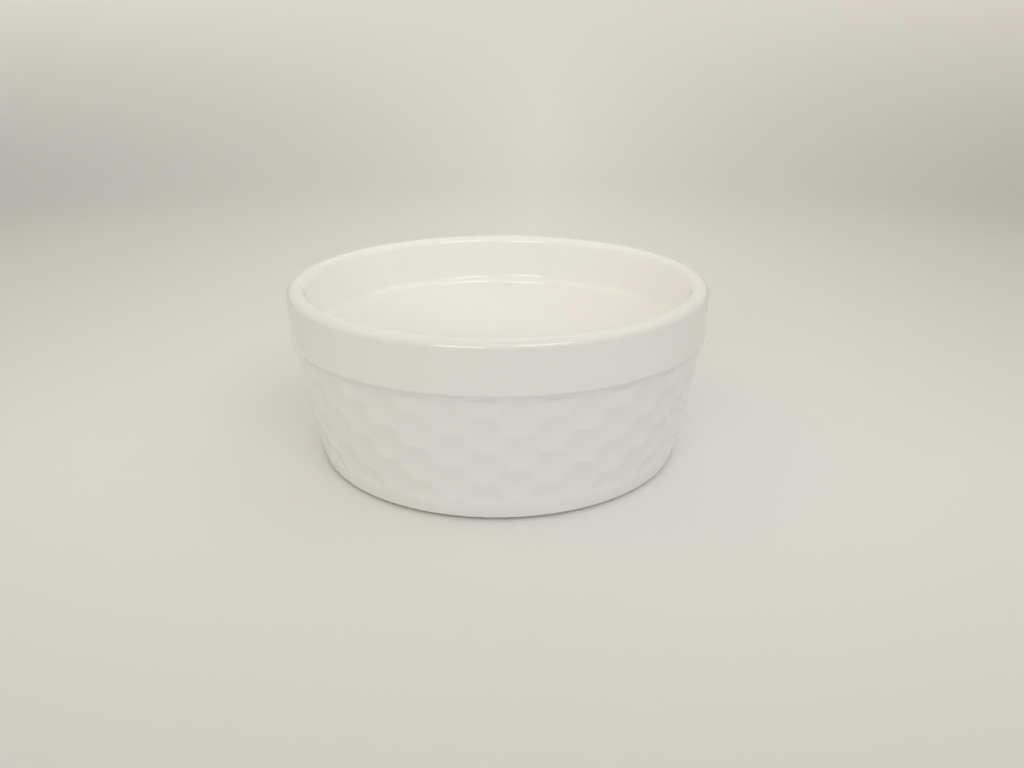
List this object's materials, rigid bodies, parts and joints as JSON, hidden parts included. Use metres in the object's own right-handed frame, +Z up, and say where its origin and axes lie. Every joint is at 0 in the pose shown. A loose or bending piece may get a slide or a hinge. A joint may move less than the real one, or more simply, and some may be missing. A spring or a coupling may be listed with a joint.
{
  "type": "ramekin",
  "caption": "Round porcelain ramekin with a plain collared rim, an inner ledge and a tapered wall of soft staggered dimples, for baking and serving small portions",
  "frame": {"origin": "centre of the circle that the foot stands on, at table level", "axes": "+Z up along the dish's own axis, out of its mouth; -Y towards the front, through the middle of one column of dimples"},
  "size_m": [0.105, 0.105, 0.044],
  "materials": {
    "bare_porcelain": "fired, unglazed, fine matt",
    "white_glaze": "clear gloss glaze over white porcelain",
    "base_white_glaze": "clear gloss glaze over white porcelain, under the base"
  },
  "bodies": {
    "root": {"porcelain_body": "bare_porcelain", "glaze_coat": "white_glaze", "base_glaze": "base_white_glaze"}
  },
  "joints": []
}
